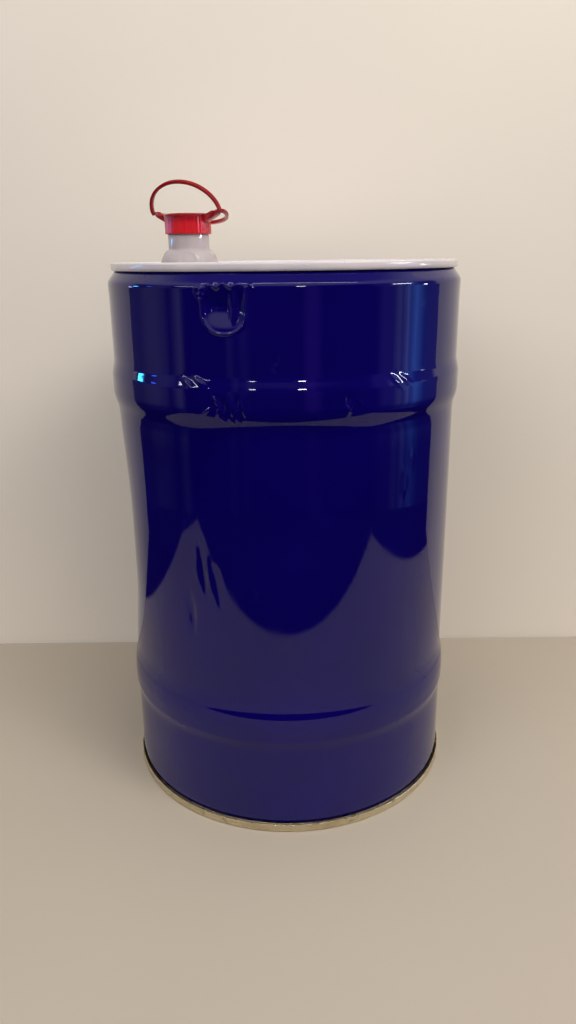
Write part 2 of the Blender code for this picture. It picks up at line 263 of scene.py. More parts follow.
def boolean(obj, operation, other):
    """Applies a boolean with another piece, which is then removed."""
    modifier = obj.modifiers.new(operation, "BOOLEAN")
    modifier.operation = operation
    modifier.solver = "EXACT"
    modifier.object = other
    graph = bpy.context.evaluated_depsgraph_get()
    mesh = bpy.data.meshes.new_from_object(obj.evaluated_get(graph))
    obj.modifiers.clear()
    obj.data = mesh
    bpy.data.objects.remove(other)
    return obj


# ---------------------------------------------------------------- materials

def node(tree, kind, inputs=None, **settings):
    made = tree.nodes.new(kind)
    for key, value in settings.items():
        setattr(made, key, value)
    for key, value in (inputs or {}).items():
        if isinstance(value, bpy.types.NodeSocket):
            tree.links.new(value, made.inputs[key])
        else:
            made.inputs[key].default_value = value
    return made


def colour(rgb):
    return (*rgb, 1.0)


def link(tree, socket, target):
    tree.links.new(socket, target)


def blank_material(name):
    """A material with nothing but its output node."""
    material = bpy.data.materials.new(name)
    material.use_nodes = True
    tree = material.node_tree
    tree.nodes.clear()
    return material, tree, tree.nodes.new("ShaderNodeOutputMaterial").inputs[0]


def new_material(name):
    material, tree, surface = blank_material(name)
    shader = tree.nodes.new("ShaderNodeBsdfPrincipled")
    link(tree, shader.outputs[0], surface)
    return material, tree, shader


def dress(tree, shader, base, rough, normal):
    """Gives a shader its varying colour, roughness and surface."""
    link(tree, base, shader.inputs["Base Color"])
    link(tree, rough, shader.inputs["Roughness"])
    link(tree, normal, shader.inputs["Normal"])


def noise(tree, scale, detail=3.0, stretch=(1, 1, 1)):
    """Noise over the piece's own coordinates in metres, stretched."""
    coords = tree.nodes.new("ShaderNodeTexCoord")
    inputs = {"Vector": coords.outputs["Object"], "Scale": stretch}
    place = node(tree, "ShaderNodeMapping", inputs).outputs[0]
    inputs = {"Vector": place, "Scale": scale, "Detail": detail}
    return node(tree, "ShaderNodeTexNoise", inputs).outputs["Fac"]


def ramp(tree, factor, stops):
    """A colour ramp from (place, colour) stops."""
    made = node(tree, "ShaderNodeValToRGB", {"Fac": factor})
    elements = made.color_ramp.elements
    while len(elements) < len(stops):
        elements.new(0.5)
    for element, (position, rgb) in zip(elements, stops):
        element.position = position
        element.color = colour(rgb)
    return made.outputs["Color"]


def remap(tree, value, from_low, from_high, to_low, to_high):
    inputs = {"Value": value, "From Min": from_low, "From Max": from_high}
    inputs.update({"To Min": to_low, "To Max": to_high})
    made = node(tree, "ShaderNodeMapRange", inputs)
    made.interpolation_type = "SMOOTHSTEP"
    return made.outputs["Result"]


def mix(tree, factor, first, second, blend="MIX"):
    made = node(tree, "ShaderNodeMix", data_type="RGBA", blend_type=blend)
    values = ((made.inputs[0], factor), (made.inputs[6], first), (made.inputs[7], second))
    for socket, value in values:
        if isinstance(value, bpy.types.NodeSocket):
            tree.links.new(value, socket)
        else:
            socket.default_value = value
    return made.outputs[2]


def maths(tree, operation, first, second=0.0):
    return node(tree, "ShaderNodeMath", {0: first, 1: second}, operation=operation).outputs[0]


def bump(tree, height, distance, strength, under=None):
    inputs = {"Height": height, "Distance": distance, "Strength": strength}
    if under is not None:
        inputs["Normal"] = under
    return node(tree, "ShaderNodeBump", inputs).outputs[0]


def scratches(tree, stretch, scale, low, high):
    """Thin stray lines: where a stretched noise crosses its middle value."""
    wide = noise(tree, scale, 2.0, stretch)
    distance = maths(tree, "ABSOLUTE", maths(tree, "SUBTRACT", wide, 0.5))
    line = remap(tree, distance, 0.0, 0.004, 1.0, 0.0)
    patch = remap(tree, noise(tree, 30.0, 2.0), low, high, 0.0, 1.0)
    return maths(tree, "MULTIPLY", line, patch)


def blue_lacquer():
    material, tree, shader = new_material("blue_lacquer")
    clouds = noise(tree, 14.0, 4.0)
    base = ramp(tree, clouds, [(0.3, (0.0022, 0.0005, 0.088)), (0.7, (0.0032, 0.0008, 0.110))])
    lines = scratches(tree, (1, 1, 0.25), 60.0, 0.56, 0.72)
    base = mix(tree, maths(tree, "MULTIPLY", lines, 0.10), base, colour((0.06, 0.06, 0.25)))
    worn = noise(tree, 70.0, 4.0, (1, 1, 0.6))
    rough = remap(tree, worn, 0.35, 0.75, 0.025, 0.07)
    rough = maths(tree, "ADD", rough, maths(tree, "MULTIPLY", lines, 0.06))
    peel = bump(tree, noise(tree, 700.0, 2.0), 0.00002, 0.10)
    wave = bump(tree, noise(tree, 55.0, 1.0, (1, 1, 0.22)), 0.0006, 0.06, peel)
    drawn = bump(tree, noise(tree, 170.0, 2.0, (1, 1, 0.07)), 0.0003, 0.10, wave)
    dress(tree, shader, base, rough, drawn)
    shader.inputs["IOR"].default_value = 1.45
    return material


def white_lacquer():
    material, tree, shader = new_material("white_lacquer")
    clouds = noise(tree, 25.0, 4.0)
    base = ramp(tree, clouds, [(0.3, (0.62, 0.57, 0.60)), (0.7, (0.74, 0.67, 0.68))])
    specks = noise(tree, 420.0, 2.0)
    marks = remap(tree, specks, 0.70, 0.76, 0.0, 1.0)
    base = mix(tree, maths(tree, "MULTIPLY", marks, 0.6), base, colour((0.16, 0.14, 0.16)))
    worn = remap(tree, noise(tree, 90.0, 4.0), 0.3, 0.7, 0.10, 0.20)
    ripple = bump(tree, noise(tree, 60.0, 2.0), 0.0006, 0.12)
    dress(tree, shader, base, worn, ripple)
    return material


def tinplate():
    material, tree, shader = new_material("tinplate")
    clouds = noise(tree, 22.0, 4.0)
    base = ramp(tree, clouds, [(0.3, (0.60, 0.51, 0.33)), (0.7, (0.78, 0.70, 0.50))])
    grime = remap(tree, noise(tree, 130.0, 3.0), 0.64, 0.76, 0.0, 0.6)
    base = mix(tree, grime, base, colour((0.16, 0.13, 0.09)))
    grain = noise(tree, 400.0, 3.0, (0.3, 0.3, 6.0))
    rough = remap(tree, grain, 0.3, 0.7, 0.20, 0.42)
    dress(tree, shader, base, rough, bump(tree, grain, 0.00005, 0.2))
    shader.inputs["Metallic"].default_value = 1.0
    return material


def milky_polyethylene():
    material, tree, shader = new_material("milky_polyethylene")
    clouds = noise(tree, 40.0, 3.0)
    base = ramp(tree, clouds, [(0.3, (0.58, 0.48, 0.50)), (0.7, (0.66, 0.57, 0.57))])
    fine = noise(tree, 120.0, 2.0, (1, 1, 0.4))
    rough = remap(tree, fine, 0.3, 0.7, 0.05, 0.09)
    dress(tree, shader, base, rough, bump(tree, clouds, 0.0004, 0.08))
    shader.inputs["Subsurface Weight"].default_value = 0.5
    shader.inputs["Subsurface Radius"].default_value = (1.0, 0.8, 0.85)
    shader.inputs["Subsurface Scale"].default_value = 0.006
    shader.inputs["Transmission Weight"].default_value = 0.15
    shader.inputs["IOR"].default_value = 1.45
    return material


def red_plastic():
    """Red that deepens towards the top of the cap: a painted glow low down, where the nozzle shines
    through, and painted shade above it.
    """
    material, tree, shader = new_material("red_plastic")
    coords = tree.nodes.new("ShaderNodeTexCoord")
    height = node(tree, "ShaderNodeSeparateXYZ", {0: coords.outputs["Object"]}).outputs["Z"]
    # painted glow and shade: bright red low on the cap, dark red from there up, the bails included
    depth = remap(tree, height, CAP_LOW + 0.006, CAP_LOW + 0.011, 0.0, 1.0)
    base = mix(tree, depth, colour((0.66, 0.010, 0.016)), colour((0.30, 0.001, 0.006)))
    tint = remap(tree, noise(tree, 160.0, 4.0), 0.35, 0.7, 0.0, 0.35)
    base = mix(tree, tint, base, colour((0.50, 0.012, 0.020)))
    fine = noise(tree, 900.0, 3.0)
    rough = remap(tree, fine, 0.3, 0.7, 0.14, 0.22)
    dress(tree, shader, base, rough, bump(tree, fine, 0.00003, 0.1))
    shader.inputs["Subsurface Weight"].default_value = 0.15
    shader.inputs["Subsurface Radius"].default_value = (1.0, 0.1, 0.1)
    shader.inputs["Subsurface Scale"].default_value = 0.004
    return material


def grainy(name, scale, detail, dark, light, roughness):
    """A dull material whose grains show in its colour, roughness and surface alike."""
    material, tree, shader = new_material(name)
    grains = noise(tree, scale, detail)
    base = ramp(tree, grains, [(0.3, dark), (0.7, light)])
    rough = remap(tree, grains, 0.3, 0.7, roughness, roughness + 0.2)
    dress(tree, shader, base, rough, bump(tree, grains, 0.0001, 0.4))
    return material


def liner_foam():
    return grainy("liner_foam", 2500.0, 2.0, (0.70, 0.69, 0.64), (0.86, 0.85, 0.81), 0.6)


def seam_compound():
    return grainy("seam_compound", 600.0, 3.0, (0.010, 0.009, 0.008), (0.020, 0.018, 0.016), 0.5)


# ---------------------------------------------------------------- the steel body

BODY_R = 142.0
DEGREE_MM = BODY_R * math.pi / 180


def body_path():
    """Outer radius over height, in millimetres, from the top seam down to the base seam."""
    return fillet([
        (137.1, 442.3, 0),
        (137.1, 441.2, 0.4),
        (138.3, 439.5, 1.5),
        (142.5, 433.9, 1.8),
        (143.0, 431.6, 1.2),
        (142.6, 423.0, 6),
        (142.6, 371.6, 2.4),
        (144.6, 362.6, 2.4),
        (144.6, 345.6, 4.2),
        (141.35, 335.2, 4.8),
        (141.35, 118.5, 3.0),
        (142.35, 109.2, 1.3),
        (143.25, 105.5, 1.3),
        (144.3, 96.5, 3.0),
        (144.3, 84.5, 1.6),
        (142.4, 76.8, 3.5),
        (142.4, 11.5, 3.0),
        (141.6, 6.5, 0),
    ])


def spans(stops):
    """Values that run through the stops; each stop is (start, step) and the last is the end."""
    values = []
    for (start, step), (end, _) in zip(stops, stops[1:]):
        count = max(1, round(abs(end - start) / step))
        values += [start + (end - start) * i / count for i in range(count)]
    values.append(stops[-1][0])
    return np.array(values)


def side_dent(a, z):
    """The long shallow dent down the left side."""
    around_it = bell(a, -80.0, 15.0)
    upper = smoothstep(z, 345.0, 245.0)
    lower = smoothstep(z, 105.0, 190.0)
    return 4.2 * around_it * upper * lower


def thumb_dent(a, z):
    """The U-shaped dent under the shoulder, left of the middle, with its raised edge."""
    half_width = 15.4
    across = (a + 16.7) * DEGREE_MM / half_width
    below = np.minimum(z - 418.0, 0) / 16.5
    reach = (np.abs(across) ** 2.4 + np.abs(below) ** 2.4) ** (1 / 2.4)
    chute = np.clip((z - 401.5) / 17.0, 0, 1) * np.clip(1 - reach ** 3, 0, None) ** 0.8
    top = smoothstep(z, 439.0, 414.0)
    lens = np.hypot((across - 0.42) * half_width / 4.4, (z - 419.5) / 12.5)
    bump = np.clip(1 - lens ** 2, 0, None)
    edge = bell(reach, 1.04, 0.05) * smoothstep(z, 434.0, 425.0)
    return top * (4.0 * chute - 2.2 * bump) - 0.8 * edge


def heart_crease(a, z):
    """A small heart-shaped press mark at the left end of the dent's edge."""
    x = (a + 23.3) * DEGREE_MM
    y = z - 427.0
    ring = 0.0
    for side in (-1, 1):
        ring = np.maximum(ring, bell(np.hypot(x - side * 2.0, y - 2.0), 2.3, 0.7))
    tail = bell(np.abs(x), np.clip((y + 5.0) * 0.75, 0, None), 0.8) * smoothstep(y, -6.0, -4.0)
    return -0.55 * np.maximum(ring, tail * smoothstep(y, 3.0, 0.0))


def ridge(a, z, a0, z0, a1, z1, width, height):
    """A raised crease from one place to another; the width is in millimetres."""
    px, py = a * DEGREE_MM, z
    sx, sy = a0 * DEGREE_MM, z0
    dx, dy = (a1 - a0) * DEGREE_MM, z1 - z0
    t = np.clip(((px - sx) * dx + (py - sy) * dy) / (dx * dx + dy * dy), 0, 1)
    distance = np.hypot(px - sx - t * dx, py - sy - t * dy)
    return -height * bell(distance, 0.0, width) * (0.35 + 0.65 * np.sin(math.pi * t))


CREASES = [
    # azimuth and height of both ends, width, height; raised when positive
    # neck edge over the dent
    (-20.6, 434.0, -18.6, 430.6, 0.9, 0.55),
    (-18.6, 430.6, -16.8, 434.4, 0.9, 0.55),
    (-16.8, 434.4, -14.4, 431.0, 0.9, 0.60),
    (-14.4, 431.0, -12.2, 434.0, 0.9, 0.55),
    (-9.6, 434.6, -8.2, 430.4, 0.9, 0.50),
    # crumples on the upper hoop
    (-20.8, 359.5, -18.9, 352.8, 0.8, 0.60),
    (-18.6, 351.0, -19.4, 345.6, 0.8, 0.60),
    (-17.6, 358.0, -17.2, 348.4, 0.9, -0.60),
    (-16.2, 359.6, -15.0, 351.6, 0.8, 0.55),
    (-14.6, 356.0, -14.9, 346.4, 0.9, 0.60),
    (-13.2, 360.0, -13.6, 350.8, 0.8, -0.55),
    (-12.2, 355.0, -11.2, 346.0, 0.9, 0.60),
    (-10.9, 359.6, -11.4, 351.0, 0.8, 0.50),
    (-24.0, 346.0, -20.8, 351.5, 0.9, 0.45),
    (-18.2, 343.6, -17.2, 341.6, 0.9, 0.60),
    (-15.4, 342.8, -14.6, 340.6, 0.9, 0.60),
    (-13.6, 343.2, -12.8, 341.2, 0.9, 0.60),
    # keyhole crease on the right of the hoop
    (17.4, 360.6, 17.3, 353.4, 1.2, -0.75),
    (16.6, 352.6, 17.8, 347.0, 0.9, 0.55),
    (18.4, 352.0, 17.4, 345.6, 0.9, 0.55),
    (19.2, 360.0, 22.0, 350.0, 1.2, 0.25),
    (31.0, 371.0, 35.0, 361.4, 1.6, 0.55),
    (34.0, 371.6, 38.6, 362.6, 1.6, 0.50),
    (-30.6, 371.6, -27.4, 364.0, 1.6, 0.45),
    (-26.6, 372.0, -23.0, 366.0, 1.6, 0.45),
    # narrow dents low on the left, and small pimples
    (-32.6, 204.0, -31.6, 172.0, 4.0, -1.70),
    (-30.0, 186.0, -31.0, 168.0, 2.2, 0.60),
    (-27.8, 246.0, -26.4, 208.0, 3.0, -1.00),
    (-25.6, 234.0, -24.4, 206.0, 2.0, 0.60),
    (-22.6, 226.0, -21.4, 196.0, 3.0, -0.50),
    (-29.4, 228.0, -29.0, 212.0, 2.0, 0.45),
    (-27.0, 249.0, -27.2, 243.0, 1.4, -0.35),
    (-14.7, 279.0, -14.7, 277.0, 1.0, 0.30),
    (-22.8, 291.0, -22.8, 289.0, 1.0, 0.30),
    (41.8, 309.0, 41.6, 301.0, 2.0, 0.60),
    (39.0, 296.0, 38.6, 280.0, 2.6, 0.45),
    (-48.0, 330.0, -47.0, 262.0, 3.4, -0.35),
    (2.5, 300.0, 3.5, 250.0, 5.0, -0.10),
]


def gentle_waves(a, z):
    """Slow unevenness of rolled sheet, which mirrors show."""
    t = np.radians(a)
    rows = 0.10 * np.sin(5 * t + 0.9 + z / 120.0)
    cross = 0.05 * np.sin(11 * t + 2.1 - z / 90.0) * np.sin(z / 47.0)
    return (rows + cross) * smoothstep(z, 6.0, 30.0) * smoothstep(z, 440.0, 425.0)


def side_weld(a, z):
    """The welded lap down the back: two low steps either side of a shallow groove."""
    off = (np.abs(a) - 180.0) * DEGREE_MM
    return -0.22 * bell(off, -1.6, 0.7) + 0.12 * bell(off, 0.0, 0.6)


def body_shift(a, z):
    """How far the body's face lies inwards of its turned shape, in millimetres."""
    inward = side_dent(a, z) + thumb_dent(a, z) + heart_crease(a, z)
    inward = inward + gentle_waves(a, z) + side_weld(a, z)
    for *ends, width, height in CREASES:
        sharp = 1.5 if width < 1.3 else 1.0
        inward = inward + ridge(a, z, *ends, width, sharp * height)
    return inward * smoothstep(z, 441.0, 438.5) * smoothstep(z, 6.5, 9.0)


def body_shell(material):
    """The body, with a finer grid of points where the hoops, dents and creases are."""
    path = body_path()
    stops = [(442.3, 0.5), (438.0, 0.75), (396.0, 2.6), (374.0, 0.8), (335.0, 4.0), (300.0, 5.0)]
    stops += [(252.0, 3.0), (160.0, 5.0), (120.0, 0.9), (75.0, 5.0), (14.0, 1.2), (6.5, 1.0)]
    heights = spans(stops)
    # the counts suit an inner face with every third row and column
    heights = heights[: len(heights) - (len(heights) - 1) % 3]
    heights[-1] = 6.5
    stops = [(-178.0, 2.6), (-104.0, 0.9), (-36.0, 0.45), (-28.0, 0.28), (-6.0, 0.6), (14.0, 0.4)]
    stops += [(24.0, 0.6), (46.0, 0.9), (104.0, 2.6), (178.0, 0.35), (182.0, 1.0)]
    azimuths = spans(stops)[:-1]
    azimuths = azimuths[: len(azimuths) - len(azimuths) % 3]
    a, z = np.meshgrid((azimuths + 180) % 360 - 180, heights)
    radius = np.interp(z, path[::-1, 1], path[::-1, 0]) - body_shift(a, z)
    outer = np.empty((*radius.shape, 3))
    outer[..., 0] = radius * np.sin(np.radians(a))
    outer[..., 1] = -radius * np.cos(np.radians(a))
    outer[..., 2] = z
    lining = inner_face(radius, a, z)
    return join_faces("body_shell_skin", outer * MM, lining * MM, material)


def inner_face(radius, a, z):
    """The inside of the body: every third row and column, behind the nearest outer points."""
    near = radius.copy()
    for shift in (-2, -1, 1, 2):
        near = np.minimum(near, np.roll(radius, shift, 1))
    lowest = near.copy()
    for shift in (1, 2):
        lowest[shift:] = np.minimum(lowest[shift:], near[:-shift])
        lowest[:-shift] = np.minimum(lowest[:-shift], near[shift:])
    r = lowest[::3, ::3] - SHEET / MM
    a, z = np.radians(a[::3, ::3]), z[::3, ::3]
    return np.stack([r * np.sin(a), -r * np.cos(a), z], axis=2)


def join_faces(name, outer, inner, material):
    """One closed shell from a fine outer grid and an inner grid with a third of its steps."""
    rows, cols = outer.shape[:2]
    inner_rows, inner_cols = inner.shape[:2]
    size = rows * cols
    verts = list(outer.reshape(-1, 3)) + list(inner.reshape(-1, 3))
    faces = quads(rows, cols) + quads(inner_rows, inner_cols, size, flip=True)
    for j in range(inner_cols):
        k = (j + 1) % inner_cols
        fine = [(3 * j + i) % cols for i in range(4)]
        faces.append((*fine, size + k, size + j))
        low = (rows - 1) * cols
        inner_low = size + (inner_rows - 1) * inner_cols
        faces.append((*[low + i for i in fine[::-1]], inner_low + j, inner_low + k))
    return add_piece(name, verts, faces, material)


# ---------------------------------------------------------------- the two ends

def rim_press(angles, z):
    """The top seam is pushed in a little above the dent; shift in metres, inwards."""
    azimuth = (np.degrees(angles) + 90 + 180) % 360 - 180
    return 0.5 * MM * bell(azimuth, -17.0, 7.0) * smoothstep(z, TOP_Z - 0.012, TOP_Z - 0.006)


def ray_angles(cols):
    """Directions from the spout's centre, closer together where the drum's wall is far off."""
    turn = around(cols)
    towards = math.atan2(-SPOUT_Y, -SPOUT_X)
    return turn - 0.28 * np.sin(turn - towards)


def rim_rows(angles):
    """The seam, the chuck wall and the groove, down to the panel's edge."""
    top, seam = TOP_Z / MM, TOP_SEAM_R / MM
    section = fillet([
        (seam - 1.3, top - 4.8, 0),
        (seam - 0.8, top - 5.3, 0.4),
        (seam - 0.1, top - 4.2, 1.1),
        (seam, top - 2.6, 1.3),
        (seam - 0.2, top - 0.4, 1.2),
        (seam - 1.5, top, 0.9),
        (seam - 2.9, top - 0.2, 0.9),
        (CHUCK_WALL_R / MM - 0.3, top - 5.0, 3.0),
        (134.3, PANEL_Z / MM + 1.0, 1.4),
        (131.6, PANEL_Z / MM - 2.2, 1.6),
        (127.4, PANEL_Z / MM - 2.2, 1.6),
        (PANEL_R / MM, PANEL_Z / MM, 1.0),
    ]) * MM
    rows = turned_grid(section, angles)
    shift = rim_press(angles[None, :], rows[..., 2])
    scale = 1 - shift / np.linalg.norm(rows[..., :2], axis=2)
    rows[..., :2] *= scale[..., None]
    return rows


def top_end(material):
    """The end in one grid: its columns fan out from the spout's opening to the rim."""
    cols = 540
    rays = ray_angles(cols)
    direction = np.stack([np.cos(rays), np.sin(rays)], axis=1)
    spout = np.array(SPOUT)
    along = direction @ spout
    reach = -along + np.sqrt(along ** 2 - spout @ spout + PANEL_R ** 2)
    wall = spout + direction * reach[:, None]
    outside = rim_rows(np.arctan2(wall[:, 1], wall[:, 0]))
    foot_r = OPENING_R + SHEET + 0.9 * MM
    start = spout + direction * foot_r
    flat = []
    for share in np.linspace(1, 0, 26)[1:]:
        points = start + (wall - start) * share
        height = PANEL_Z + panel_relief(points)
        flat.append(np.concatenate([points, height[:, None]], axis=1))
    neck = fillet([
        (foot_r / MM, 0.0, 0),
        (28.5, 0.0, 0.9),
        (28.5, 3.4, 0.8),
        (31.0, 3.5, 0.4),
        (31.1, 3.1, 0),
    ], steps=4)[1:] * MM
    rise = np.stack([
        np.concatenate([spout + direction * r, np.full((cols, 1), PANEL_Z + z)], axis=1)
        for r, z in neck
    ])
    grid = np.concatenate([outside, np.stack(flat), rise])
    return sheet_piece("top_end_skin", grid, material)


def panel_relief(points):
    """A raised ring on the top panel, faded out near the spout; metres."""
    radius = np.hypot(points[:, 0], points[:, 1])
    from_spout = np.hypot(points[:, 0] - SPOUT_X, points[:, 1] - SPOUT_Y)
    ring = bell(radius, 48.5 * MM, 2.6 * MM)
    return 1.2 * MM * ring * smoothstep(from_spout, 33 * MM, 38 * MM)


def bottom_end(material):
    seam = BASE_SEAM_R / MM
    recess = BASE_RECESS / MM
    section = fillet([
        (0.0, recess, 0),
        (58.0, recess, 2.0),
        (62.5, recess + 1.3, 2.0),
        (71.0, recess + 1.3, 2.0),
        (75.5, recess, 2.0),
        (112.0, recess, 2.0),
        (115.0, recess - 0.9, 2.0),
        (120.0, recess - 0.9, 2.0),
        (123.0, recess, 2.0),
        (137.8, recess, 1.6),
        (BASE_WALL_R / MM + 0.2, 4.6, 2.0),
        (seam - 2.9, 0.3, 0.9),
        (seam - 1.5, 0.0, 0.9),
        (seam, 0.2, 1.3),
        (seam, 6.0, 0.6),
        (seam - 0.5, 6.6, 0.5),
        (seam - 1.3, 6.1, 0),
    ]) * MM
    grid = turned_grid(section[::-1], around(384))
    return sheet_piece("bottom_end_skin", grid, material, pole=True)


# ---------------------------------------------------------------- spout, cap and bails

BELLOWS_FOOT_Z = PANEL_Z + 4.1 * MM
BELLOWS_NECK_Z = NOZZLE_LOW - 1.2 * MM


def bellows_radius(share):
    """Outer radius of the folding wall in millimetres, from its foot (0) to the nozzle (1)."""
    if share < 0.5:
        return 24.7 - 3.5 * math.sin(math.pi * share)
    return 15.1 + 6.1 * math.cos(math.pi * (share - 0.5)) ** 0.6


def bellows_side(inset, steps=34):
    """Points down the folding wall, the inset inwards of its outer face, in millimetres."""
    points = []
    for i in range(steps + 1):
        share = 1 - (i / steps) ** 1.15
        height = BELLOWS_FOOT_Z + (BELLOWS_NECK_Z - BELLOWS_FOOT_Z) * share
        points.append((bellows_radius(share) - inset, height / MM))
    return points


def thread_wave(angles, z, start):
    """Height of the thread's bead, 0 to 1, at each angle and height."""
    turns = angles / (2 * math.pi)
    total = np.zeros(np.broadcast(angles, z).shape)
    for lap in range(-1, 3):
        at = turns + lap
        centre = start + THREAD_LEAD * at
        inside = smoothstep(at, -0.04, 0.04)
        inside = inside * smoothstep(at, THREAD_TURNS + 0.04, THREAD_TURNS - 0.04)
        bead = np.clip(1 - ((z - centre) / (0.95 * MM)) ** 2, 0, 1) ** 0.5
        total = np.maximum(total, bead * inside)
    return total


def from_axis(grid):
    """Distance of each point from the spout's axis."""
    return np.linalg.norm(grid[..., :2] - np.array(SPOUT), axis=-1)


def widen(grid, amount):
    """Moves points outwards from the spout's axis."""
    radius = np.maximum(from_axis(grid), 1e-9)
    flat = grid[..., :2] - np.array(SPOUT)
    grid[..., :2] = np.array(SPOUT) + flat * ((radius + amount) / radius)[..., None]
    return grid


def nozzle_thread(grid, angles):
    """The thread outside the nozzle, and the press mark below it."""
    outer = from_axis(grid) > THREAD_ROOT_R - 0.4 * MM
    wave = thread_wave(angles[None, :], grid[..., 2], THREAD_START)
    return bulge_dimple(widen(grid, THREAD_BEAD * wave * outer))


def bulge_dimple(grid):
    """A shallow round press mark in the front of the folding wall."""
    centre = np.array([SPOUT_X + 1.0 * MM, SPOUT_Y - 20.0 * MM, PANEL_Z + 18.5 * MM])
    away = np.linalg.norm(grid - centre, axis=2)
    press = 1.6 * MM * np.clip(1 - (away / (6.6 * MM)) ** 2, 0, 1) ** 0.7
    return widen(grid, -press)


def spout_moulding(material):
    """Nozzle, folding wall and flange in one hollow moulding."""
    low, high = NOZZLE_LOW / MM, NOZZLE_HIGH / MM
    step = CAP_LOW / MM + 0.6
    lip = PANEL_Z / MM + NECK_HEIGHT / MM
    outside = fillet([
        (12.9, high, 0),
        (14.1, high, 0.35),
        (14.1, step, 0.3),
        (15.1, step - 1.1, 0.4),
        (15.1, low + 0.2, 0),
    ], steps=3)
    # close points down the threaded part, so that the thread can stand out of them
    threaded = [(14.1, high - 0.5 - (high - step - 1.0) * i / 26) for i in range(1, 26)]
    side = [*outside[:2], *threaded, *outside[-6:], *bellows_side(0.0)]
    flange = fillet([
        (24.9, lip + 0.9, 0),
        (25.8, lip + 2.1, 0.6),
        (31.7, lip + 2.1, 0.5),
        (31.75, lip - 0.5, 0.2),
        (31.35, lip - 0.5, 0.1),
        (31.3, lip + 0.3, 0.1),
        (27.6, lip + 0.3, 0.2),
        (27.6, lip - 5.0, 0.4),
        (26.2, lip - 5.0, 0.4),
        (25.6, lip - 1.0, 1.0),
        (23.9, lip + 0.2, 0),
    ], steps=3)
    bore = [(13.9, low + 0.2), (13.9, step - 1.2), (12.9, step)]
    path = [*side, *flange, *bellows_side(1.0)[::-1], *bore]
    return loop_solid("spout_moulding", np.array(path) * MM, material, SPOUT, 192, nozzle_thread)


def crimp_ring(material):
    """The clamping ring, with its waist pressed in all round."""
    lip = PANEL_Z / MM + NECK_HEIGHT / MM
    section = fillet([
        (29.6, lip + 2.65, 0),
        (32.5, lip + 2.65, 0.9),
        (32.6, lip - 0.6, 0.8),
        (29.3, lip - 1.0, 0),
    ]) * MM
    angles = around(240)
    grid = turned_grid(section, angles, SPOUT)
    crimps = 0.25 * MM * np.clip(np.cos(angles * CRIMPS), 0, 1) ** 2
    waist = bell(grid[..., 2], (lip + 0.9) * MM, 0.9 * MM)
    return sheet_piece("crimp_ring_skin", widen(grid, -crimps[None, :] * waist), material)


def cap_section():
    """Half of the cap's section in millimetres, from the top of its axis round to its inside."""
    low, high = CAP_LOW / MM, CAP_HIGH / MM
    radius, bore = CAP_R / MM, CAP_BORE_R / MM
    upper = fillet([
        (0.0, high - 0.25, 0),
        (8.8, high - 0.25, 0.4),
        (9.5, high + 0.25, 0.5),
        (radius - 0.6, high + 0.05, 1.0),
        (radius + 0.55, high - 0.5, 0.5),
        (radius + 0.55, high - 1.4, 0.3),
        (radius, high - 2.0, 0.4),
        (radius, low + 0.5, 0.0),
    ], steps=4)
    skirt = [(radius, low + 0.5 + (high - low - 2.9) * (1 - i / 16)) for i in range(17)]
    foot = fillet([
        (radius, low + 0.4, 0),
        (radius, low, 0.4),
        (bore, low, 0.3),
        (bore, low + 1.0, 0),
    ], steps=3)
    inner = [(bore, low + 1.0 + (high - low - 3.0) * i / 30) for i in range(31)]
    return [*upper[:-1], *skirt, *foot, *inner, (0.0, high - 1.8)]


def cap_ribs(grid, angles):
    """Soft grip ribs down the skirt and the thread inside."""
    z = grid[..., 2]
    radius = from_axis(grid)
    rib = 0.5 + 0.5 * np.cos(angles * CAP_RIBS)
    skirt = (radius > CAP_R - 0.1 * MM) * smoothstep(z, CAP_HIGH - 1.6 * MM, CAP_HIGH - 2.4 * MM)
    grid = widen(grid, -0.22 * MM * (1 - rib[None, :] ** 0.7) * skirt)
    start = THREAD_START - THREAD_LEAD / 2
    inside = (radius < CAP_BORE_R + 0.1 * MM) * (radius > CAP_BORE_R - 0.1 * MM)
    wave = thread_wave(angles[None, :], z, start)
    return widen(grid, -THREAD_BEAD * wave * inside)


def to_bail(points, origin):
    """Points (along the hinge, across it, up) to the row frame, from a place on the hinge."""
    across = Vector((0, 0, 1)).cross(HINGE_AXIS)
    turn = Matrix((HINGE_AXIS, across, (0, 0, 1))).transposed()
    return [turn @ Vector(p) + Vector(origin) for p in points]


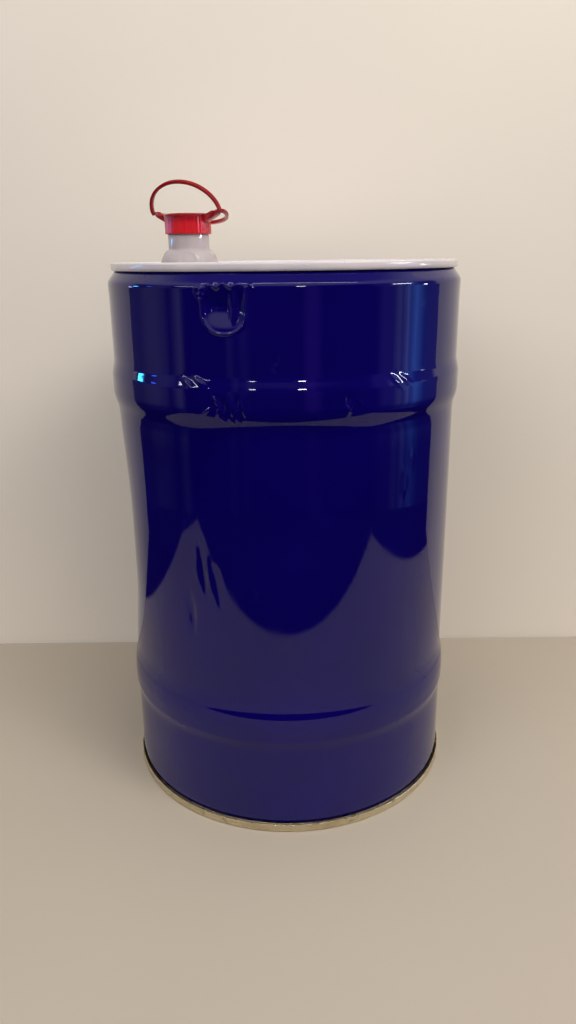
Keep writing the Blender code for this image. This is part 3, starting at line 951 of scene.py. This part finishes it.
def cap_lugs(material):
    """The two hinge lugs with bevelled sides, deep at the cap and thin at the hinges."""
    hinge_z = JOINTS["front_bail_fold"]["pos_m"][2]
    top = CAP_HIGH - 0.3 * MM
    side = [
        (8.0 * MM, top, 0),
        (19.0 * MM, top, 2.0 * MM),
        (23.0 * MM, hinge_z + 0.3 * MM, 1.2 * MM),
        (LUG_REACH, hinge_z + 0.3 * MM, 0.8 * MM),
        (LUG_REACH, hinge_z - 2.2 * MM, 1.6 * MM),
        (22.5 * MM, hinge_z - 4.6 * MM, 3.0 * MM),
        (15.9 * MM, top - 6.4 * MM, 0),
        (15.9 * MM, top - 2.4 * MM, 0),
        (8.0 * MM, top - 1.0 * MM, 0),
    ]
    side = fillet(side)
    middle = side.mean(0)
    count = len(side)
    bevel, half = 0.5 * MM, LUG_WIDTH / 2
    length = np.linalg.norm(side - middle, axis=1, keepdims=True)
    slim = middle + (side - middle) * (1 - bevel / np.maximum(length, bevel))
    slices = ((-half, slim), (bevel - half, side), (half - bevel, side), (half, slim))
    verts, faces = [], []
    for sign in (1, -1):
        first = len(verts)
        for depth, outline in slices:
            verts += [(sign * x, depth, z) for x, z in outline]
        rings = [tuple(range(first + k * count, first + (k + 1) * count)) for k in range(4)]
        sides = [rings[0], rings[3][::-1]]
        for a, b in zip(rings, rings[1:]):
            sides += [(a[i], a[i - 1], b[i - 1], b[i]) for i in range(count)]
        faces += [side_face[::sign] for side_face in sides]
    return add_piece("cap_lugs", to_bail(verts, (*SPOUT, 0)), faces, material)


def fix_normals(obj):
    """Turns every face of a closed piece outwards."""
    mesh = bmesh.new()
    mesh.from_mesh(obj.data)
    bmesh.ops.recalc_face_normals(mesh, faces=mesh.faces)
    mesh.to_mesh(obj.data)
    mesh.free()


def cap(material):
    body = poled_solid("cap_moulding", np.array(cap_section()) * MM, material, SPOUT, 360, cap_ribs)
    lugs = cap_lugs(material)
    fix_normals(lugs)
    boolean(body, "UNION", lugs)
    body.data.set_sharp_from_angle(angle=math.radians(50))
    return body


def bail_section():
    """Section of the strap, thickness by width, with a groove along its outer edge."""
    return fillet([
        (-1.0, -1.15, 0),
        (1.0, -1.15, 0.3),
        (1.25, -0.8, 0.3),
        (1.25, 1.2, 0.25),
        (0.65, 1.2, 0.1),
        (0.5, 0.75, 0.1),
        (-0.5, 0.75, 0.1),
        (-0.65, 1.2, 0.1),
        (-1.25, 1.2, 0.25),
        (-1.25, -0.8, 0.3),
        (-1.0, -1.15, 0),
    ], steps=2)[:-1] * MM


def bail_line():
    """The strap's middle line, half an ellipse between its feet, and its outward directions."""
    foot = LUG_REACH - 0.1 * MM
    toe = foot + 0.6 * MM
    turn = np.linspace(0, math.pi, 73)
    arc = np.stack([BAIL_HALF_SPAN * np.cos(turn), BAIL_REACH * np.sin(turn)], axis=1)
    line = np.concatenate([[(foot, 0), (toe, 0)], arc, [(-toe, 0), (-foot, 0)]])
    slope = np.gradient(line, axis=0)
    slope[:2] = (0.7, 0.7)
    slope[-2:] = (0.7, -0.7)
    slope /= np.linalg.norm(slope, axis=1, keepdims=True)
    return line, np.stack([slope[:, 1], -slope[:, 0]], axis=1)


def bail(name, joint, tilt, material):
    """A strap on its hinge line, tilted up from lying flat."""
    section = bail_section()
    cos, sin = math.cos(tilt), math.sin(tilt)
    verts = []
    for middle, outward in zip(*bail_line()):
        for thick, wide in section:
            x, y = middle + outward * wide
            verts.append((x, y * cos - thick * sin, y * sin + thick * cos))
    count = len(section)
    faces = [tuple(range(count)), tuple(range(len(verts) - count, len(verts)))]
    for a in range(0, len(verts) - count, count):
        for j in range(count):
            k = (j + 1) % count
            faces.append((a + j, a + k, a + count + k, a + count + j))
    obj = add_piece(name, to_bail(verts, JOINTS[joint]["pos_m"]), faces, material, 55)
    fix_normals(obj)
    return obj


def cap_liner(material):
    low, high = LINER_LOW / MM, LINER_HIGH / MM
    edge = 15.3
    lower = [(edge - 0.1, low + 0.15), (edge - 0.3, low)]
    for i in range(40):
        radius = (edge - 0.6) * (1 - i / 40)
        groove = 0.12 * (0.5 - 0.5 * math.cos(i * math.pi / 3))
        lower.append((radius, low + groove))
    upper = [(0.0, high), (edge - 0.4, high), (edge, high - 0.2), (edge, low + 0.3)]
    path = [*upper, *lower, (0.0, low)]
    return poled_solid("liner_disc", np.array(path) * MM, material, SPOUT, 160)


def tear_out_seal(material):
    """A membrane in the nozzle with a thin tear line, a post and a pull ring."""
    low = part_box("tear_out_seal")[0].z
    high = low + 0.8 * MM
    top, foot = high / MM, low / MM
    rim = fillet([
        (10.2, foot, 0),
        (10.2, top, 0.2),
        (10.6, top - 0.35, 0.15),
        (11.0, top, 0.2),
        (12.5, top, 0.15),
        (12.55, foot, 0.15),
        (0.0, foot, 0),
    ], steps=3)
    path = np.array([(0.0, top), *rim[1:]]) * MM
    disc = poled_solid("seal_membrane", path, material, SPOUT, 128)
    ring_r, ring_z, half = 7.6 * MM, low + 5.6 * MM, 1.1 * MM
    hoop = []
    for i in range(24):
        turn = -2 * math.pi * i / 24
        hoop.append((ring_r + half * 0.9 * math.cos(turn), ring_z + half * math.sin(turn)))
    ring = loop_solid("pull_ring", hoop, material, SPOUT, 96)
    post_place = (SPOUT_X + ring_r * HINGE_AXIS.x, SPOUT_Y + ring_r * HINGE_AXIS.y)
    post_path = fillet([
        (0.0, ring_z, 0),
        (0.9 * MM, ring_z, 0),
        (0.9 * MM, high + 0.8 * MM, 0.5 * MM),
        (1.5 * MM, high - 0.3 * MM, 0),
        (0.0, high - 0.3 * MM, 0),
    ])
    post = poled_solid("pull_ring_post", post_path, material, post_place, 32)
    for other in (ring, post):
        boolean(disc, "UNION", other)
    disc.data.set_sharp_from_angle(angle=math.radians(50))
    return disc


# ---------------------------------------------------------------- stage, light and camera

def stage_material(name, base, roughness, grain):
    material, tree, shader = new_material(name)
    soft = noise(tree, 2.2, 3.0)
    tone = ramp(tree, soft, [(0.35, tuple(c * 0.96 for c in base)), (0.65, base)])
    link(tree, tone, shader.inputs["Base Color"])
    grains = noise(tree, grain)
    rough = remap(tree, grains, 0.3, 0.7, roughness, roughness + 0.1)
    link(tree, rough, shader.inputs["Roughness"])
    return material, tree, shader


# The table that the lacquer mirrors; its corner is cut where x - CORNER_SLOPE * y = CORNER_CUT
TABLE_LOW, TABLE_HIGH = (-0.785, -0.49), (0.67, 0.195)
WALL_Y = TABLE_HIGH[1]
FLOOR_Z = -0.0003
CORNER_SLOPE, CORNER_CUT = 0.736, -0.571
ROOM_DARK = (0.012, 0.008, 0.012)


def edge(tree, value, place_at, blur=0.01, outside=0.0):
    """0 on the low side of a blurred edge and 1 on its high side, or the reverse."""
    return remap(tree, value, place_at - blur, place_at + blur, outside, 1.0 - outside)


def keep_inside(tree, shader):
    """Off the table (a rectangle with one corner cut), only the camera sees the surface."""
    coords = tree.nodes.new("ShaderNodeTexCoord")
    parts = node(tree, "ShaderNodeSeparateXYZ", {0: coords.outputs["Object"]})
    x, y = parts.outputs["X"], parts.outputs["Y"]
    slant = maths(tree, "SUBTRACT", x, maths(tree, "MULTIPLY", y, CORNER_SLOPE))
    inside = edge(tree, slant, CORNER_CUT, 0.012)
    for value, low, high in zip((x, y), TABLE_LOW, TABLE_HIGH):
        inside = maths(tree, "MULTIPLY", inside, edge(tree, value, low))
        inside = maths(tree, "MULTIPLY", inside, edge(tree, value, high, outside=1.0))
    rays = tree.nodes.new("ShaderNodeLightPath")
    shown = maths(tree, "MAXIMUM", inside, rays.outputs["Is Camera Ray"])
    dark = node(tree, "ShaderNodeEmission", {"Color": colour(ROOM_DARK), "Strength": 1.0})
    inputs = {0: shown, 1: dark.outputs[0], 2: shader.outputs[0]}
    blend = node(tree, "ShaderNodeMixShader", inputs)
    link(tree, blend.outputs[0], tree.nodes["Material Output"].inputs[0])


SQUARE = ((-1, -1), (1, -1), (1, 1), (-1, 1))


def plane(name, corners, material):
    obj = add_piece(name, corners, [(0, 1, 2, 3)], material)
    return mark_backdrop(obj)


def floor():
    material, tree, shader = stage_material("pale_floor", (0.50, 0.435, 0.355), 0.62, 40.0)
    keep_inside(tree, shader)
    shader.inputs["Specular IOR Level"].default_value = 0.2
    far = 6.0
    corners = [(x * far, y * far, FLOOR_Z) for x, y in SQUARE]
    return plane("floor", corners, material)


def wall():
    """The wall behind, seen from its front only."""
    material, tree, shader = stage_material("pale_wall", (0.86, 0.785, 0.69), 0.5, 30.0)
    shader.inputs["Specular IOR Level"].default_value = 0.25
    geometry = tree.nodes.new("ShaderNodeNewGeometry")
    clear = tree.nodes.new("ShaderNodeBsdfTransparent")
    inputs = {0: geometry.outputs["Backfacing"], 1: shader.outputs[0], 2: clear.outputs[0]}
    facing = node(tree, "ShaderNodeMixShader", inputs)
    link(tree, facing.outputs[0], tree.nodes["Material Output"].inputs[0])
    side, height = 0.75, 1.25
    corners = [(x * side, WALL_Y, height if z > 0 else FLOOR_Z) for x, z in SQUARE]
    return plane("wall", corners, material)


ROOM_BANDS = [
    # heading in degrees right of the front, colour; what stands round the table
    (-112, (0.75, 0.71, 0.66)), (-108, (0.10, 0.09, 0.10)), (-97, (0.09, 0.08, 0.10)),
    (-89, (0.20, 0.19, 0.22)), (-82, (0.23, 0.22, 0.25)), (-75, (0.15, 0.14, 0.17)),
    (-71, (0.02, 0.02, 0.03)), (-67, (0.17, 0.16, 0.20)), (-64, (0.36, 0.34, 0.38)),
    (-60, (0.01, 0.01, 0.02)), (-35, (0.01, 0.01, 0.02)), (-32, (0.12, 0.11, 0.16)),
    (-29, (0.01, 0.01, 0.02)), (-24, (0.08, 0.07, 0.18)), (-20, (0.02, 0.01, 0.02)),
    (9, (0.02, 0.01, 0.02)), (13, (0.12, 0.05, 0.48)), (18, (0.12, 0.05, 0.48)),
    (22, (0.01, 0.005, 0.01)), (54, (0.01, 0.01, 0.02)), (59, (0.12, 0.10, 0.45)),
    (66, (0.12, 0.10, 0.45)), (71, (0.40, 0.46, 0.95)), (73.5, (0.15, 0.18, 0.50)),
    (77, (0.60, 0.85, 2.20)), (79.5, (0.16, 0.32, 1.20)), (84, (0.32, 0.85, 3.00)),
    (88, (0.16, 0.40, 1.50)), (92, (0.06, 0.14, 0.60)), (100, (0.10, 0.10, 0.35)),
    (108, (0.10, 0.10, 0.30)), (112, (0.75, 0.71, 0.66)),
]
BAND_PEAK = 3.0


def room_bands(tree, parts):
    """The room's brightness by heading, for reflections."""
    front = maths(tree, "MULTIPLY", parts.outputs["Y"], -1.0)
    heading = maths(tree, "ARCTAN2", parts.outputs["X"], front)
    share = maths(tree, "MULTIPLY_ADD", heading, 0.5 / math.pi)
    share.node.inputs[2].default_value = 0.5
    stops = []
    for degrees, rgb in ROOM_BANDS:
        stops.append((0.5 + degrees / 360, tuple(c / BAND_PEAK for c in rgb)))
    return mix(tree, 1.0, ramp(tree, share, stops), colour([BAND_PEAK] * 3), "MULTIPLY")


def room_ring():
    """The room's lower part round the table, which only reflections show."""
    material, tree, surface = blank_material("room_ring")
    coords = tree.nodes.new("ShaderNodeTexCoord")
    parts = node(tree, "ShaderNodeSeparateXYZ", {0: coords.outputs["Object"]})
    bands = room_bands(tree, parts)
    low = remap(tree, parts.outputs["Z"], 0.10, 0.24, 0.2, 1.0)
    glow = node(tree, "ShaderNodeEmission", {"Color": bands, "Strength": low})
    link(tree, glow.outputs[0], surface)
    radius, height, cols = 0.95, 0.40, 96
    half_turn = math.radians(ROOM_BANDS[-1][0])
    verts = []
    for angle in np.linspace(-half_turn, half_turn, cols + 1):
        x, y = radius * math.sin(angle), -radius * math.cos(angle)
        verts += [(x, y, 0.0), (x, y, height)]
    faces = [(i, i + 2, i + 3, i + 1) for i in range(0, 2 * cols, 2)]
    obj = add_piece("room_ring", verts, faces, material)
    only_glossy(obj)
    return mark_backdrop(obj)


def only_glossy(obj):
    """Leaves a surface to be seen in reflections and nowhere else."""
    obj.visible_camera = False
    obj.visible_diffuse = False
    obj.visible_shadow = False
    obj.visible_transmission = False


def background(tree, tint, strength):
    return node(tree, "ShaderNodeBackground", {"Color": tint, "Strength": strength}).outputs[0]


def world():
    """A pale room for the eye, an even fill for the light, and a dim room for reflections."""
    made = bpy.data.worlds.new("room")
    bpy.context.scene.world = made
    made.use_nodes = True
    tree = made.node_tree
    tree.nodes.clear()
    output = tree.nodes.new("ShaderNodeOutputWorld")
    rays = tree.nodes.new("ShaderNodeLightPath")
    coords = tree.nodes.new("ShaderNodeTexCoord")
    parts = node(tree, "ShaderNodeSeparateXYZ", {0: coords.outputs["Generated"]})
    up = parts.outputs["Z"]
    ceiling = remap(tree, up, 0.24, 0.40, 0.0, 1.0)
    room = room_bands(tree, parts)
    room = mix(tree, ceiling, room, colour((0.74, 0.70, 0.70)))
    overhead = remap(tree, up, 0.62, 0.82, 0.0, 1.0)
    room = mix(tree, overhead, room, colour((0.20, 0.18, 0.24)))
    seen = background(tree, colour((0.70, 0.645, 0.58)), 1.0)
    fill = background(tree, colour((1.0, 0.97, 0.93)), 0.50)
    gloss = background(tree, room, 1.0)
    inputs = {0: rays.outputs["Is Glossy Ray"], 1: fill, 2: gloss}
    unseen = node(tree, "ShaderNodeMixShader", inputs).outputs[0]
    inputs = {0: rays.outputs["Is Camera Ray"], 1: unseen, 2: seen}
    link(tree, node(tree, "ShaderNodeMixShader", inputs).outputs[0], output.inputs[0])


def area_light(name, place_at, aim, size, power, tint):
    """A round soft light, aimed at a point, which reflections don't show."""
    light = bpy.data.lights.new(name, "AREA")
    light.shape = "DISK"
    light.size = size
    light.energy = power
    light.color = tint
    obj = bpy.data.objects.new(name, light)
    bpy.context.scene.collection.objects.link(obj)
    obj.location = place_at
    obj.rotation_euler = (Vector(aim) - Vector(place_at)).to_track_quat("-Z", "Y").to_euler()
    obj.visible_glossy = False
    return obj


def lamp_panel(name, heading, elevation, width, height, tint, strength):
    """A small lamp that only reflections show: heading in degrees right of the front."""
    material, tree, surface = blank_material(name)
    glow = node(tree, "ShaderNodeEmission", {"Color": colour(tint), "Strength": strength})
    link(tree, glow.outputs[0], surface)
    distance, eye_height = 3.0, 0.36
    h, e = math.radians(heading), math.radians(elevation)
    out = Vector((math.sin(h) * math.cos(e), -math.cos(h) * math.cos(e), math.sin(e)))
    side = Vector((math.cos(h), math.sin(h), 0))
    over = out.cross(side)
    centre = out * distance + Vector((0, 0, eye_height))
    w, t = distance * math.radians(width) / 2, distance * math.radians(height) / 2
    corners = [centre + side * (x * w) + over * (y * t) for x, y in SQUARE]
    obj = add_piece(name, corners, [(0, 1, 2, 3)], material)
    only_glossy(obj)
    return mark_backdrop(obj)


def lights():
    area_light("key", (1.25, -1.0, 1.75), (0.0, 0.1, 0.3), 0.8, 13.0, (1.0, 0.96, 0.90))
    area_light("fill", (-1.0, -1.3, 1.5), (-0.1, 0.1, 0.4), 1.2, 10.0, (0.93, 0.95, 1.0))
    area_light("top", (0.2, -0.2, 2.2), (0.0, 0.0, 0.0), 1.2, 6.0, (1.0, 0.97, 0.93))
    area_light("wall_wash", (0.6, -0.9, 1.6), (0.45, 0.195, 0.8), 0.8, 7.5, (1.0, 0.98, 0.95))
    white, cyan, blue = (1.0, 0.98, 0.95), (0.05, 0.45, 1.0), (0.02, 0.12, 1.0)
    lamps = [
        # name, heading, elevation, width and height in degrees, tint, strength
        ("lamp_middle", 10, 12, 5.0, 1.6, white, 60.0),
        ("lamp_left", -21, 12, 3.0, 1.4, white, 30.0),
        ("lamp_far_left", -58, 10.5, 22.0, 1.0, white, 18.0),
        ("lamp_right", 76, 8.8, 15.0, 2.2, white, 40.0),
        ("lamp_cyan", -103, 4.6, 5.0, 2.2, cyan, 40.0),
        ("lamp_blue", -90, 6.0, 4.0, 1.6, blue, 20.0),
        ("strip_right", 96, 0.6, 3.5, 3.4, white, 30.0),
        ("strip_left", -110, 0.6, 6.0, 3.4, (0.45, 0.42, 1.0), 12.0),
        ("tube", 0, 52, 90.0, 2.4, white, 16.0),
    ]
    for lamp in lamps:
        lamp_panel(*lamp)


EYE = (0, -0.6732, 0.4498)


def camera():
    """Level with the drum's rim, looking down a little and slightly rolled."""
    data = bpy.data.cameras.new("camera")
    data.sensor_fit = "AUTO"
    data.sensor_width = 36.0
    data.lens = 27.42
    data.clip_start = 0.01
    obj = bpy.data.objects.new("camera", data)
    bpy.context.scene.collection.objects.link(obj)
    pitch, roll, yaw = math.radians(-18.07), math.radians(0.68), math.radians(0.07)
    ahead = math.cos(pitch)
    forward = Vector((math.sin(yaw) * ahead, math.cos(yaw) * ahead, math.sin(pitch)))
    level = forward.cross(Vector((0, 0, 1))).normalized()
    upright = level.cross(forward)
    right = level * math.cos(roll) - upright * math.sin(roll)
    up = level * math.sin(roll) + upright * math.cos(roll)
    turn = Matrix((right, up, -forward)).transposed().to_4x4()
    obj.matrix_world = Matrix.Translation(EYE) @ turn
    bpy.context.scene.camera = obj


# ---------------------------------------------------------------- build

def build():
    camera()
    bpy.context.scene.view_settings.view_transform = "Standard"
    blue, white, tin = blue_lacquer(), white_lacquer(), tinplate()
    milky, red, foam, compound = milky_polyethylene(), red_plastic(), liner_foam(), seam_compound()
    settle(body_shell(blue), "drum", "blue_lacquer", "body_shell")
    settle(top_end(white), "drum", "white_lacquer", "top_end")
    settle(bottom_end(tin), "drum", "tinplate", "bottom_end")
    settle(crimp_ring(white), "drum", "white_lacquer", "spout_crimp_ring")
    moulding = spout_moulding(milky)
    settle(moulding, None, "milky_polyethylene", "spout_flange", "spout_bellows", "spout_nozzle")
    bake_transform(moulding)
    settle(tear_out_seal(milky), "nozzle", "milky_polyethylene", "tear_out_seal")
    settle(cap_liner(foam), "liner", "liner_foam", "cap_liner")
    settle(cap(red), "screw_cap", "red_plastic", "cap")
    settle(bail("bail_front_strap", "front_bail_fold", RAISED_TILT, red), "front_bail",
           "red_plastic", "bail_front")
    settle(bail("bail_back_strap", "back_bail_fold", FOLDED_TILT, red), "back_bail",
           "red_plastic", "bail_back")
    for name in ("top_seam_compound", "bottom_seam_compound"):
        node_mesh = frame["nodes"][name].data
        node_mesh.materials.clear()
        node_mesh.materials.append(compound)
    world()
    room_ring()
    floor()
    wall()
    lights()


build()
bpy.context.view_layer.update()
